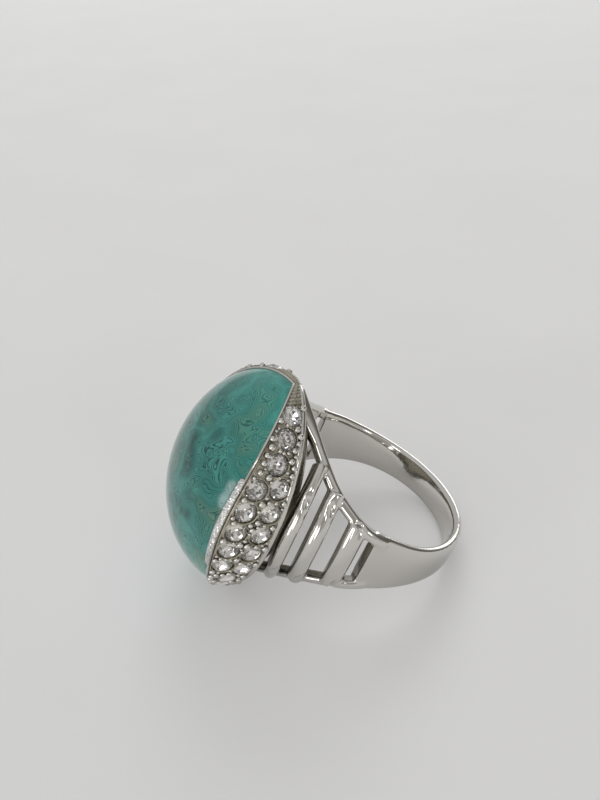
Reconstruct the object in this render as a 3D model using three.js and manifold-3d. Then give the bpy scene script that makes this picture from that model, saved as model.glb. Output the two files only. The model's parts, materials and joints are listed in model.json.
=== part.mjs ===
// A cocktail ring: a tapering band, an openwork shoulder on each side, two crescent panels of
// rhinestones and a large oval cabochon. All sizes are in millimetres.
//
// The ring has its own directions: across the finger, along the finger, and up towards the stone.
// The finger hole's centre is the origin of that frame. The ring lies on its side, as it does when
// it is put down: on the lower end of its head and the lower edge of its band.

import * as THREE from "three";
import { mergeVertices } from "three/addons/utils/BufferGeometryUtils.js";
import Module from "manifold-3d";

const wasm = await Module();
wasm.setup();

// ---- driving dimensions ------------------------------------------------------------------

const FINGER_RADIUS = 8.75;
const BAND_THICKNESS = 1.0;
const BAND_HALF_WIDTH = { back: 1.5, side: 2.6, top: 3.0 };
const BAND_TAPER = 3.2; // how late the band widens on its way from the back to the side
const BAND_EDGE = 0.22; // bevel along both edges of the band's outer face
const BAND_TOP = 1.9; // height where the solid band ends and the shoulder begins
const JOINT_GAP = 0.04; // between pieces that are soldered, glued or set
const REST_TILT = THREE.MathUtils.degToRad(24.0);

// The shoulder's outer face at its middle, as [height, distance across].
const SHOULDER_FACE = [
  [0, 9.76],
  [3, 9.66],
  [5.5, 9.3],
  [8, 8.75],
  [10.6, 7.95],
];
const SHOULDER_THICKNESS = 1.1;
const RIM_WIDTH = 1.0;
// How the rim's face turns towards the finger's sides, and how far it follows the head's oval.
const RIM_LEAN = { across: 0.02, along: 0.8 };
// The outer edge of the shoulder's rim, as [across, along, up], from the band to the head's end.
const RIM_EDGE = [
  [9.76, 2.9, 1.4],
  [9.6, 3.25, 2.9],
  [8.7, 4.0, 4.5],
  [6.95, 5.3, 6.3],
  [4.55, 7.1, 7.95],
  [2.0, 9.0, 9.3],
  [0.1, 10.2, 10.1],
];
// Each bar crosses the shoulder at this height, and sinks towards the band at its ends.
const BARS = [
  { middle: 4.5, width: 1.8, sink: 0.02, reach: 3.9 },
  { middle: 7.45, width: 1.5, sink: 0.036, reach: 5.3 },
  { middle: 9.55, width: 1.15, sink: 0.034, reach: 6.9 },
];
const SHOULDER_ROOT = { from: BAND_TOP + JOINT_GAP, to: 2.65 };
const SHOULDER_TOP = 10.18; // just under the rail
// Rims, bars and rails are strips with a softly rounded face.
const CROWN = { rim: 0.12, bar: 0.22, rail: 0.14 };
// Half the flat middle of that face as a share of its width, and how far the middle and the edges
// lie below it as shares of the crown.
const STRIP_FACE = { flat: 0.28, middleDrop: 0.35, edgeDrop: 1.6 };

const STONE = { halfLength: 10.15, halfWidth: 9.45, base: 10.78, height: 7.75, power: 1.97 };
const STONE_WALL_GAP = 0.12;

// The crescent panel runs from the rail, level with the stone's base, up to an edge on the stone.
const PANEL = {
  thickness: 1.05,
  bulge: 0.18,
  rise: 4.1, // how far its upper edge climbs the stone at the middle
  endRise: 0.3,
  edgeGap: 0.4, // from the stone's dome out to the upper edge
};
const RAIL = { halfLength: 10.25, halfWidth: 7.85, height: 10.6, width: 0.76, proud: 0.08 };
// How many straight pieces stand for each curve.
const HEAD_STEPS = 44;
const BAND_STEPS = 18;
const RIM_STEPS = 18;
const BAR_STEPS = 10;
const TAB_STEPS = 14;
const DOME_LEVELS = 9;
const WIRE_SIDES = 6;
const RHINESTONE_SIDES = 8;
const SEAT_SIDES = 10;

const RHINESTONE = { radius: 0.93, table: 0.52, crown: 0.32, girdle: 0.12, pavilion: 0.55 };
const SEAT = { clearance: 0.04, above: 0.6 };
const ROW_PITCH = 2.2;
const ROWS_EACH_WAY = 5; // rows on each side of the middle row
const PAIRED_ROWS_EACH_WAY = 2; // of these, the rows that hold two stones
const PAIR_PLACES = [0.26, 0.74]; // between the panel's upper edge and its rail

const BEZEL = { wire: 0.15, tabReach: 5.4, tabHeight: 0.4, tabThickness: 0.4, tabTopShare: 0.6 };
const TRAY = [
  { halfLength: 6.4, halfWidth: 6.6, up: 9.2 },
  { halfLength: 8.5, halfWidth: 6.7, up: 10.3 },
];
const CEMENT = [
  { halfLength: 9.0, halfWidth: 6.7, up: 10.34 },
  { halfLength: 9.0, halfWidth: 6.7, up: 10.74 },
];
const BEYOND = 60; // larger than the whole ring, for blocks that cut everything past a plane

// ---- materials ---------------------------------------------------------------------------

const metal = (color, roughness) =>
  new THREE.MeshStandardMaterial({ color, roughness, metalness: 1 });
const rhodium = metal(0xc8c6c1, 0.16);
const antiqueRhodium = metal(0x8d8878, 0.35);
const plain = (color, roughness) =>
  new THREE.MeshStandardMaterial({ color, roughness, metalness: 0 });
const marbledResin = plain(0x4b8d84, 0.08);
const crystal = plain(0xe9ecee, 0.04);
const cement = plain(0xd9d3c2, 0.7);

// ---- geometry helpers --------------------------------------------------------------------

// A point given across the finger, along it and up towards the stone.
const at = (across, along, up) => new THREE.Vector3(-up, -across, along);

const ALONG = at(0, 1, 0);
const UP = at(0, 0, 1);

// Numbers from first to last in equal steps.
const steps = (first, last, count) =>
  Array.from({ length: count + 1 }, (_, i) => first + ((last - first) * i) / count);

// The value at x of the straight lines through a list of [x, value].
function interpolated(table, x) {
  let i = 1;
  while (i < table.length - 1 && table[i][0] < x) i++;
  const [x0, y0] = table[i - 1];
  const [x1, y1] = table[i];
  return THREE.MathUtils.mapLinear(x, x0, x1, y0, y1);
}

// A closed solid through a row of outlines that have the same number of points.
function loft(outlines, closed = false) {
  const size = outlines[0].length;
  const rings = closed ? outlines.length : outlines.length - 1;
  const index = [];
  for (let ring = 0; ring < rings; ring++) {
    const here = ring * size;
    const next = ((ring + 1) % outlines.length) * size;
    for (let i = 0; i < size; i++) {
      const j = (i + 1) % size;
      index.push(here + i, here + j, next + j, here + i, next + j, next + i);
    }
  }
  const last = (outlines.length - 1) * size;
  for (let i = 1; !closed && i + 1 < size; i++) {
    index.push(0, i + 1, i, last, last + i, last + i + 1);
  }
  return facingOut(new THREE.BufferGeometry().setFromPoints(outlines.flat()).setIndex(index));
}

// Turns every face round if the solid is inside out.
function facingOut(geometry) {
  const point = (i) => new THREE.Vector3().fromBufferAttribute(geometry.attributes.position, i);
  const index = geometry.index.array;
  let volume = 0;
  for (let i = 0; i < index.length; i += 3) {
    volume += point(index[i]).dot(point(index[i + 1]).cross(point(index[i + 2])));
  }
  if (volume < 0) index.reverse();
  return geometry;
}

function toSolid(geometry) {
  const bare = geometry.clone();
  bare.deleteAttribute("normal");
  bare.deleteAttribute("uv");
  const merged = mergeVertices(bare, 1e-4);
  return new wasm.Manifold(
    new wasm.Mesh({
      numProp: 3,
      vertProperties: new Float32Array(merged.attributes.position.array),
      triVerts: new Uint32Array(merged.index.array),
    }),
  );
}

function toGeometry(solid) {
  const mesh = solid.getMesh();
  return new THREE.BufferGeometry()
    .setAttribute("position", new THREE.BufferAttribute(mesh.vertProperties, 3))
    .setIndex(new THREE.BufferAttribute(mesh.triVerts, 1));
}

const join = (geometries) => toGeometry(geometries.map(toSolid).reduce((a, b) => a.add(b)));
const cut = (geometry, tools) =>
  toGeometry(tools.map(toSolid).reduce((a, b) => a.subtract(b), toSolid(geometry)));

// The same shape on the other side of the finger.
function mirrored(geometry) {
  return facingOut(geometry.clone().applyMatrix4(new THREE.Matrix4().makeScale(1, -1, 1)));
}

// A flat strip with a rounded face, laid along a path: each place on the path gives the middle of
// its face and the direction that the face looks in.
function strip(places, width, thickness, crown) {
  return loft(
    places.map(({ point, outward }, i) => {
      const before = places[Math.max(i - 1, 0)].point;
      const after = places[Math.min(i + 1, places.length - 1)].point;
      const run = after.clone().sub(before).normalize();
      const side = run.clone().cross(outward).normalize();
      const out = side.clone().cross(run).normalize();
      const corner = (sideways, deep) =>
        point.clone().addScaledVector(side, sideways * width).addScaledVector(out, -deep);
      const { flat, middleDrop, edgeDrop } = STRIP_FACE;
      return [
        corner(-0.5, thickness),
        corner(-0.5, crown * edgeDrop),
        corner(-flat, crown * middleDrop),
        corner(flat, crown * middleDrop),
        corner(0.5, crown * edgeDrop),
        corner(0.5, thickness),
      ];
    }),
  );
}

// Angles all the way round, without the last one that would repeat the first.
const roundAngles = (count) => steps(0, 2 * Math.PI, count).slice(0, -1);

// A level oval at an angle round the head, with the direction that points out of it.
function ovalPlace(halfWidth, halfLength, angle, up) {
  const t = halfWidth * Math.cos(angle);
  const f = halfLength * Math.sin(angle);
  const outward = at(t / halfWidth ** 2, f / halfLength ** 2, 0).normalize();
  return { point: at(t, f, up), outward };
}

// A flat plate with an oval outline at its bottom and another at its top.
function ovalPlate(outlines) {
  return loft(
    outlines.map(({ halfLength, halfWidth, up }) =>
      roundAngles(HEAD_STEPS).map((angle) => ovalPlace(halfWidth, halfLength, angle, up).point),
    ),
  );
}

// ---- the band ----------------------------------------------------------------------------

// Half the band's width at an angle round the finger from the band's back.
function bandHalfWidth(angle) {
  const { back, side } = BAND_HALF_WIDTH;
  return back + (side - back) * Math.min(angle / (Math.PI / 2), 1) ** BAND_TAPER;
}

// The section of the band, from its inner face to its softly rounded outer face.
function bandSection(inner, outer, halfWidth) {
  const bevel = inner.clone().lerp(outer, 1 - BAND_EDGE / BAND_THICKNESS);
  const raised = (point, height) => point.clone().addScaledVector(ALONG, height);
  return [
    raised(inner, -halfWidth),
    raised(bevel, -halfWidth),
    raised(outer, -halfWidth + BAND_EDGE),
    raised(outer, halfWidth - BAND_EDGE),
    raised(bevel, halfWidth),
    raised(inner, halfWidth),
  ];
}

// The distance across from the finger hole's middle to its wall, at a height.
const holeAcross = (up) => Math.sqrt(FINGER_RADIUS ** 2 - up ** 2);

function shank() {
  const outerRadius = FINGER_RADIUS + BAND_THICKNESS;
  const { side: sideWidth, top: topWidth } = BAND_HALF_WIDTH;
  const half = steps(0, Math.PI / 2, BAND_STEPS).map((angle) => ({
    halfWidth: bandHalfWidth(angle),
    inner: [FINGER_RADIUS * Math.sin(angle), -FINGER_RADIUS * Math.cos(angle)],
    outer: [outerRadius * Math.sin(angle), -outerRadius * Math.cos(angle)],
  }));
  for (const up of steps(0, BAND_TOP, 2).slice(1)) {
    half.push({
      halfWidth: THREE.MathUtils.mapLinear(up, 0, BAND_TOP, sideWidth, topWidth),
      inner: [holeAcross(up), up],
      outer: [interpolated(SHOULDER_FACE, up), up],
    });
  }
  const section = (side) => ({ inner, outer, halfWidth }) =>
    bandSection(at(side * inner[0], 0, inner[1]), at(side * outer[0], 0, outer[1]), halfWidth);
  return loft([...half.slice(1).reverse().map(section(-1)), ...half.map(section(1))]);
}

// ---- the shoulders -----------------------------------------------------------------------

// The rim's outer edge, and how far along the finger the shoulder reaches at each height.
const rimCurve = new THREE.CatmullRomCurve3(RIM_EDGE.map(([t, f, n]) => at(t, f, n)));
const RIM_PLACES = rimCurve.getSpacedPoints(RIM_STEPS);
const RIM_ACROSS = RIM_PLACES.map(({ x, y }) => [-x, -y]);
const RIM_ALONG = RIM_PLACES.map(({ x, z }) => [-x, z]);

// How far across the shoulder's face is, at a place along the finger and up.
function shoulderAcross(f, up) {
  const middle = interpolated(SHOULDER_FACE, up);
  const share = Math.min(Math.abs(f) / interpolated(RIM_ALONG, up), 1);
  return middle - (middle - interpolated(RIM_ACROSS, up)) * share ** 2;
}

// The direction that the shoulder's face looks in.
function shoulderOutward(f, up) {
  const near = 0.1;
  const acrossPerAlong = (shoulderAcross(f + near, up) - shoulderAcross(f - near, up)) / (2 * near);
  return at(1, -acrossPerAlong, 0).normalize();
}

function shoulderRim() {
  const places = RIM_PLACES.map((edge, i) => {
    const sideways = -edge.y / RAIL.halfWidth ** 2 + RIM_LEAN.across;
    const endways = (RIM_LEAN.along * edge.z) / RAIL.halfLength ** 2;
    const outward = at(sideways, endways, 0).normalize();
    const run = rimCurve.getTangentAt(i / RIM_STEPS);
    const inward = run.clone().cross(outward).normalize();
    if (inward.dot(ALONG) - inward.dot(UP) > 0) inward.negate();
    return { point: edge.clone().addScaledVector(inward, RIM_WIDTH / 2), outward };
  });
  return strip(places, RIM_WIDTH, SHOULDER_THICKNESS, CROWN.rim);
}

function shoulderBar({ middle, width, sink, reach }) {
  const places = steps(-reach, reach, BAR_STEPS).map((f) => {
    const up = middle - sink * f ** 2;
    return { point: at(shoulderAcross(f, up), f, up), outward: shoulderOutward(f, up) };
  });
  return strip(places, width, SHOULDER_THICKNESS, CROWN.bar);
}

// The solid foot of the shoulder, which stands on the end of the band.
function shoulderRoot() {
  const section = (up) => {
    const inner = at(holeAcross(up), 0, up);
    const outer = at(interpolated(SHOULDER_FACE, up), 0, up);
    return bandSection(inner, outer, BAND_HALF_WIDTH.top);
  };
  return loft([section(SHOULDER_ROOT.from), section(SHOULDER_ROOT.to)]);
}

// Everything on the other side of the finger, short of the joint between the two sides.
const block = () => new THREE.BoxGeometry(BEYOND, BEYOND, BEYOND);
const otherSide = () => block().translate(0, BEYOND / 2 - JOINT_GAP, 0);

function shoulder() {
  const upperRim = shoulderRim();
  const lowerRim = facingOut(upperRim.clone().applyMatrix4(new THREE.Matrix4().makeScale(1, 1, -1)));
  const whole = join([shoulderRoot(), upperRim, lowerRim, ...BARS.map(shoulderBar)]);
  const band = block().translate(BEYOND / 2 - SHOULDER_ROOT.from, 0, 0);
  const rail = block().translate(-BEYOND / 2 - SHOULDER_TOP, 0, 0);
  return cut(whole, [band, rail, otherSide()]);
}

// ---- the head ----------------------------------------------------------------------------

// How much the stone's outline has shrunk at a height above its base.
const stoneShrink = (height) =>
  (1 - (Math.min(height, STONE.height) / STONE.height) ** STONE.power) ** (1 / STONE.power);

// A place on the stone's dome, or clear of it by a gap.
function domePlace(angle, height, gap = 0) {
  const shrink = stoneShrink(height);
  const { halfLength, halfWidth, base } = STONE;
  const place = ovalPlace(halfWidth * shrink, halfLength * shrink, angle, base + height);
  place.point.addScaledVector(place.outward, gap);
  return place;
}

// How far the panel's upper edge stands above the stone's base.
const edgeRise = (angle) => PANEL.endRise + PANEL.rise * Math.abs(Math.cos(angle));

// The panel's upper edge, which lies on the stone's dome.
const upperEdge = (angle, gap) => domePlace(angle, edgeRise(angle), gap);

const lowerEdge = (angle) => ovalPlace(RAIL.halfWidth, RAIL.halfLength, angle, RAIL.height);

// A place on the panel's face: share 0 is its upper edge, share 1 its rail.
function panelPlace(angle, share) {
  const upper = upperEdge(angle, PANEL.edgeGap);
  const lower = lowerEdge(angle);
  const outward = upper.outward.clone().lerp(lower.outward, share).normalize();
  const bulge = PANEL.bulge * 4 * share * (1 - share);
  return { point: upper.point.lerp(lower.point, share).addScaledVector(outward, bulge), outward };
}

// The panel's true outward normal, which also leans up or down.
function panelNormal(angle, share) {
  const near = 0.02;
  const run = panelPlace(angle + near, share).point.sub(panelPlace(angle - near, share).point);
  const fall = panelPlace(angle, share + near).point.sub(panelPlace(angle, share - near).point);
  const normal = run.cross(fall).normalize();
  return normal.dot(panelPlace(angle, share).outward) < 0 ? normal.negate() : normal;
}

// The angle round the head at a distance along the panel from its middle.
function angleAtDistance(distance) {
  const step = 0.002;
  let angle = 0;
  for (let gone = 0; gone < Math.abs(distance); angle += step) {
    gone += panelPlace(angle, 0.5).point.distanceTo(panelPlace(angle + step, 0.5).point);
  }
  return Math.sign(distance) * angle;
}

// Every stone's place on one panel, from one end to the other.
function stonePlaces() {
  return steps(-ROWS_EACH_WAY, ROWS_EACH_WAY, 2 * ROWS_EACH_WAY).flatMap((row) => {
    const shares = Math.abs(row) <= PAIRED_ROWS_EACH_WAY ? PAIR_PLACES : [0.5];
    const angle = angleAtDistance(row * ROW_PITCH);
    return shares.map((share) => ({
      point: panelPlace(angle, share).point,
      normal: panelNormal(angle, share),
    }));
  });
}

// Stands a shape that was turned about +Y on the panel's face.
function standOn(geometry, { point, normal }) {
  const turn = new THREE.Quaternion().setFromUnitVectors(new THREE.Vector3(0, 1, 0), normal);
  return geometry.applyQuaternion(turn).translate(point.x, point.y, point.z);
}

function rhinestone(place) {
  const { radius, table, crown, girdle, pavilion } = RHINESTONE;
  const profile = [
    [0, -pavilion],
    [radius, -girdle],
    [radius, 0],
    [table, crown],
    [0, crown],
  ].map(([x, y]) => new THREE.Vector2(x, y));
  return standOn(new THREE.LatheGeometry(profile, RHINESTONE_SIDES), place);
}

function stoneSeat(place) {
  const radius = RHINESTONE.radius + SEAT.clearance;
  const depth = RHINESTONE.pavilion + SEAT.clearance;
  const hole = new THREE.CylinderGeometry(radius, radius, depth + SEAT.above, SEAT_SIDES);
  return standOn(hole.translate(0, (SEAT.above - depth) / 2, 0), place);
}

// A crescent panel with a seat for every stone and its rail along the lower edge.
function panel() {
  const angles = steps(-Math.PI / 2, Math.PI / 2, HEAD_STEPS / 2);
  const sections = angles.map((angle) => {
    const face = [0, 0.5, 1].map((share) => panelPlace(angle, share));
    const back = face.map(({ point, outward }) =>
      point.clone().addScaledVector(outward, -PANEL.thickness),
    );
    return [...face.map(({ point }) => point), ...back.reverse()];
  });
  const railPlaces = angles.map((angle) => {
    const { point, outward } = lowerEdge(angle);
    return { point: point.addScaledVector(outward, RAIL.proud), outward };
  });
  const rail = strip(railPlaces, RAIL.width, PANEL.thickness, CROWN.rail);
  return cut(join([loft(sections), rail]), [...stonePlaces().map(stoneSeat), otherSide()]);
}

// A thin wire round the stone, where the panels meet it.
function bezelWire() {
  const { wire } = BEZEL;
  const sections = roundAngles(HEAD_STEPS).map((angle) => {
    const { point, outward } = upperEdge(angle, wire + JOINT_GAP);
    return roundAngles(WIRE_SIDES).map((turn) =>
      point
        .clone()
        .addScaledVector(outward, wire * Math.cos(turn))
        .addScaledVector(UP, wire * (Math.sin(turn) + 1) + JOINT_GAP),
    );
  });
  return loft(sections, true);
}

// The wider lip above the paired stones, which laps over the stone's side.
function bezelTab() {
  const end = Math.asin(BEZEL.tabReach / STONE.halfLength);
  const clear = 2 * JOINT_GAP;
  const sections = steps(-end, end, TAB_STEPS).map((angle) => {
    const low = edgeRise(angle) + 2 * BEZEL.wire + clear;
    const high = low + BEZEL.tabHeight;
    return [
      domePlace(angle, low, clear),
      domePlace(angle, low, clear + BEZEL.tabThickness),
      domePlace(angle, high, clear + BEZEL.tabTopShare * BEZEL.tabThickness),
      domePlace(angle, high, clear),
    ].map(({ point }) => point);
  });
  return loft(sections);
}

// The cabochon: a dome whose sides are cut back to drop between the two panels.
function cabochon() {
  // The topmost outline stops just short of the summit, where it would shrink to a point.
  const summit = 0.9995 * STONE.height;
  const levels = steps(0, Math.PI / 2, DOME_LEVELS).map((turn) => summit * Math.sin(turn));
  const dome = loft(
    levels.map((height) => roundAngles(HEAD_STEPS).map((angle) => domePlace(angle, height).point)),
  );
  // The collar removes everything outside the panels' inner walls and under their upper edges.
  const reach = 4;
  const depth = 0.5;
  const collar = loft(
    roundAngles(HEAD_STEPS).map((angle) => {
      const setIn = PANEL.thickness + STONE_WALL_GAP;
      const { point, outward } = upperEdge(angle, PANEL.edgeGap - setIn);
      const top = point.addScaledVector(UP, JOINT_GAP);
      const rail = lowerEdge(angle).point.addScaledVector(outward, -setIn);
      const bottom = rail.clone().addScaledVector(UP, -depth);
      const outside = (place) => place.clone().addScaledVector(outward, reach);
      return [top, rail, bottom, outside(bottom), outside(top)];
    }),
    true,
  );
  return cut(dome, [collar]);
}

// ---- the assembly ------------------------------------------------------------------------

const ring = new THREE.Group();

function add(name, geometry, material) {
  const mesh = new THREE.Mesh(geometry, material);
  mesh.name = name;
  ring.add(mesh);
}

add("shank", shank(), rhodium);
add("head_tray", ovalPlate(TRAY), rhodium);
add("cement_bed", ovalPlate(CEMENT), cement);
add("cabochon", cabochon(), marbledResin);
add("bezel_wire", bezelWire(), rhodium);

const sides = { right: (geometry) => geometry, left: mirrored };
for (const [side, turned] of Object.entries(sides)) {
  add(`shoulder_${side}`, turned(shoulder()), rhodium);
  add(`pave_panel_${side}`, turned(panel()), antiqueRhodium);
  add(`bezel_tab_${side}`, turned(bezelTab()), rhodium);
  stonePlaces().forEach((place, i) => {
    add(`rhinestone_${side}_${i + 1}`, turned(rhinestone(place)), crystal);
  });
}

// The ring is tilted until it rests on its head's lower end and its band's lower edge. The
// finished part stands on z = 0 with the middle of its outline at the origin.
ring.rotation.y = REST_TILT;
const part = new THREE.Group();
part.add(ring);
const box = new THREE.Box3().setFromObject(part, true);
const middle = box.getCenter(new THREE.Vector3());
part.position.set(-middle.x, -middle.y, -box.min.z);

export default part;
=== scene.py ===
"""Looks for the cocktail ring: the detailed pieces, their materials, and a plain studio.

Every piece is made in millimetres in the ring's own directions: across the finger, along the
finger, and up towards the stone, measured from the middle of the finger hole. placed() then moves
it into the frame, whose record says where the underside of the head is.
"""

import json
import math
import random

import bmesh
import bpy
import numpy as np
from mathutils import Matrix, Vector


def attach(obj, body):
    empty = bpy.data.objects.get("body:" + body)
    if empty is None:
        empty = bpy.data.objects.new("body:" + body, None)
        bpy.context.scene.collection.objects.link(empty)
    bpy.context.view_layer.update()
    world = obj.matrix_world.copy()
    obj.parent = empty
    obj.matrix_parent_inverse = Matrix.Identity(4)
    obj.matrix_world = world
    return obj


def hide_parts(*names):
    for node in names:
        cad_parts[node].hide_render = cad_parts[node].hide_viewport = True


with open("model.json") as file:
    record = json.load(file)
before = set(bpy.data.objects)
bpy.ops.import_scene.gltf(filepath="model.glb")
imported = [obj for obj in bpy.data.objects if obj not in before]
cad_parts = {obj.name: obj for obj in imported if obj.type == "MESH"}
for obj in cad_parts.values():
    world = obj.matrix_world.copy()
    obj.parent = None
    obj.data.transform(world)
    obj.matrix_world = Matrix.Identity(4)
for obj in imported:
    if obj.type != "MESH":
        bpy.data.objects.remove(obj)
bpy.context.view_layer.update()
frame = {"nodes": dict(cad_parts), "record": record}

# ---- driving dimensions, in millimetres as in the CAD --------------------------------------

MM = 0.001
FINGER_RADIUS = 8.75
BAND_THICKNESS = 1.0
BAND_HALF_WIDTH = {"back": 1.5, "side": 2.6, "top": 2.98, "root": 3.17}
BAND_TAPER = 3.2  # how late the band widens on its way from the back to the side
BAND_SECTION = {"points": 28, "outer_power": 4.5, "inner_power": 3.6}
BAND_STEPS = {"back_to_side": 60, "side_to_root": 8}
BAND_TOP = 1.92
HEAD_UNDERSIDE = 9.2
SIDES = {"right": 1, "left": -1}

# How far across the shoulder's face is, going up: each point is up, across.
SHOULDER_FACE = np.array([[0, 9.76], [3, 9.66], [5.5, 9.3], [8, 8.75], [10.6, 7.95]])
SHOULDER_THICKNESS = 1.1
SHOULDER_TOP = 10.18
RIM_WIDTH = 1.0
RIM_WIDTH_AT_TOP = 1.6
RIM_WIDENS = (8.2, 9.3)  # heights between which the rim goes from one width to the other
RIM_FACING = {"across": 0.02, "along": 0.8}  # turn its face a little away from the rail's
RIM_STEPS = 60
# The rim's outer edge, from the band to the head's end: each point is across, along, up.
RIM_EDGE = np.array([
    [9.76, 2.8, 1.4],
    [9.6, 3.25, 2.9],
    [8.7, 4.0, 4.5],
    [6.95, 5.3, 6.3],
    [4.55, 7.1, 7.75],
    [2.0, 9.0, 9.0],
    [0.0, 10.2, 9.85],
])
# Each cross bar's height at its middle, width, how fast it sinks to its ends, how far it reaches
# along the finger, and how far along the hollow at its end is.
BARS = [
    {"middle": 4.5, "width": 1.8, "sink": 0.02, "reach": 3.3, "hollow": 2.95},
    {"middle": 7.45, "width": 1.5, "sink": 0.036, "reach": 4.9, "hollow": 3.8},
    {"middle": 9.5, "width": 1.2, "sink": 0.034, "reach": 6.3, "hollow": 3.7},
]
BAR_CROWN = 1.5
BAR_STEPS = 40
BAR_POINTS = 20  # round the section of whatever is swept along a path
HOLLOW = {"across": 0.8, "length": 0.7, "width": 0.3, "depth": 0.4}
ROOT_TOP = 2.65
VOXEL = {"quick": 0.16, "full": 0.062}
SMOOTHING = {"factor": 0.5, "iterations": 40}
CURVE_STEPS = 24  # between two given points of a smooth curve

STONE = {"length": 10.15, "width": 9.45, "base": 10.78, "height": 7.75, "power": 1.97}
STONE_STEPS = {"round": 240, "up": 60}
STONE_CLEARANCE = 0.12  # between the stone and the backs of the panels
STONE_FOOT = 0.05  # least height above its base at which the stone is cut back
PANEL = {"thickness": 1.05, "bulge": 0.18, "rise": 4.2, "power": 1.06, "end": 0.2}
PANEL_GAP = {"middle": 0.34, "end": 0.12}
PANEL_GRID = {"quick": (200, 30), "full": (520, 84)}
PANEL_STEPS = 900  # for measuring along the panel
PANEL_TIP = 0.004  # radians by which the panel stops short of the stone's two ends
PANEL_FADE = 0.03  # share of the face over which the relief fades towards each edge
PANEL_LIP = {"height": 0.1, "share": 0.035}
RAIL = {"length": 10.25, "width": 7.85, "height": 10.6, "proud": 0.14, "band": 0.66}
RAIL_STEPS = 160
RAIL_POWER = 2.6
RHINESTONE = {"radius": 0.93, "table": 0.52, "crown": 0.32, "pavilion": 0.56, "sunk": 0.12}
RHINESTONE_FOLD = 8
RHINESTONE_LEAN = 0.07
# The crown facets' height and the lower facets' radius and depth are shares of the whole.
FACETS = {"crown_height": 0.62, "girdle": 0.06, "lower_radius": 0.55, "lower_depth": 0.52}
# The hole for a rhinestone goes this far below its tip, and has a raised collar round it.
SEAT = {"below": 0.1, "clearance": 0.03, "slope": 0.06}
COLLAR = {"height": 0.09, "off": 0.1, "width": 0.07}
ROW_PITCH = 2.2
ROWS_EACH_WAY = 5
PAIRED_ROWS_EACH_WAY = 2
PAIR_PLACES = (0.26, 0.74)  # shares of the way from the panel's upper edge to its rail
BEAD_SIZES = (0.3, 0.24, 0.19, 0.15)
BEAD_SPREAD = (0.88, 1.1)  # a bead's size against its nominal one
BEAD_SHARES = (0.06, 0.93)  # shares of the same way, between which beads may be
BEAD_TRIES = 1200
BEAD_OVERLAP = 0.04  # how far a bead may lie over a rhinestone's edge
BEAD_RAISED = 0.2  # of its radius
BEAD_STEPS = {"levels": 9, "sides": 12}
BEADED_REACH = 11.7
RIDGES = {"from": 12.0, "height": 0.06, "pitch": 0.42}
BEZEL_WIRE = 0.13
BEZEL_STEPS = 320
# The lip's lift is in radii of the wire, its fade in radians, its height at its ends a share.
TAB = {"reach": 5.4, "height": 0.34, "end_height": 0.8, "lift": 1.6, "fade": 0.03}
TAB_THICKNESS = {"foot": 0.36, "thinning": 0.45, "grain": 0.11, "least": 0.03, "back": 0.02}
TAB_STEPS = {"along": 260, "up": 9}
GRAIN_BLUR = (0.25, 0.5, 0.25)
DOME_FULLNESS = 0.08
CUP = [(7.8, 6.6, 9.2), (8.9, 6.75, 9.6), (9.4, 6.85, 10.32)]  # half length, half width, up
CUP_STEPS = 120
SEEDS = {"beads": 11, "rhinestones": 7, "tabs": 5}


# ---- the ring's own directions --------------------------------------------------------------

def ring_frame():
    """The matrix from the ring's own millimetres to the frame's metres."""
    mount = frame["record"]["mounts"][0]
    up = -Vector(mount["axis"]).normalized()
    across = Vector((0, -1, 0))
    along = up.cross(across)
    origin = Vector(mount["pos_m"]) - up * HEAD_UNDERSIDE * MM
    turn = Matrix((across, along, up)).transposed().to_4x4()
    return Matrix.Translation(origin) @ turn @ Matrix.Scale(MM, 4)


TO_ROW = ring_frame()
ACROSS, ALONG, UP = np.eye(3)
MIDDLE = np.zeros(3)


def unit(vectors):
    return vectors / np.maximum(np.linalg.norm(vectors, axis=-1, keepdims=True), 1e-12)


def full_turn(count):
    """Evenly spaced angles round a circle."""
    return np.linspace(0, 2 * math.pi, count, endpoint=False)


# ---- mesh helpers ---------------------------------------------------------------------------

def loft(outlines, closed=False):
    """Vertices and faces of a closed solid through outlines with the same number of points."""
    outlines = np.asarray(outlines, float)
    rings, size = outlines.shape[:2]
    here = np.arange(size)
    after = (here + 1) % size
    faces = []
    for ring in range(rings if closed else rings - 1):
        low, high = ring * size, (ring + 1) % rings * size
        quads = np.stack([low + here, low + after, high + after, high + here], axis=1)
        faces.extend(quads.tolist())
    if not closed:
        faces.append(here[::-1].tolist())
        faces.append(((rings - 1) * size + here).tolist())
    return outlines.reshape(-1, 3), faces


def merged(solids):
    """Several (vertices, faces) as one."""
    vertices, faces, start = [], [], 0
    for points, polygons in solids:
        vertices.append(points)
        faces.extend([[i + start for i in polygon] for polygon in polygons])
        start += len(points)
    return np.concatenate(vertices), faces


def mesh_from(solid, name):
    """A mesh with every face looking out."""
    vertices, faces = solid
    mesh = bpy.data.meshes.new(name)
    mesh.from_pydata([tuple(v) for v in vertices], [], faces)
    work = bmesh.new()
    work.from_mesh(mesh)
    bmesh.ops.recalc_face_normals(work, faces=work.faces)
    work.to_mesh(mesh)
    work.free()
    return mesh


def placed(mesh, name, materials, node_name, sharp=None, flat=False):
    """Put the finished piece in the frame: shaded, on its body, standing for its CAD node."""
    mesh.transform(TO_ROW)
    for material in materials:
        mesh.materials.append(material)
    if flat:
        mesh.shade_flat()
    else:
        mesh.shade_smooth()
    if sharp is not None:
        mesh.set_sharp_from_angle(angle=math.radians(sharp))
    piece = bpy.data.objects.new(name, mesh)
    bpy.context.scene.collection.objects.link(piece)
    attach(piece, "root")
    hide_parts(node_name)


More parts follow.
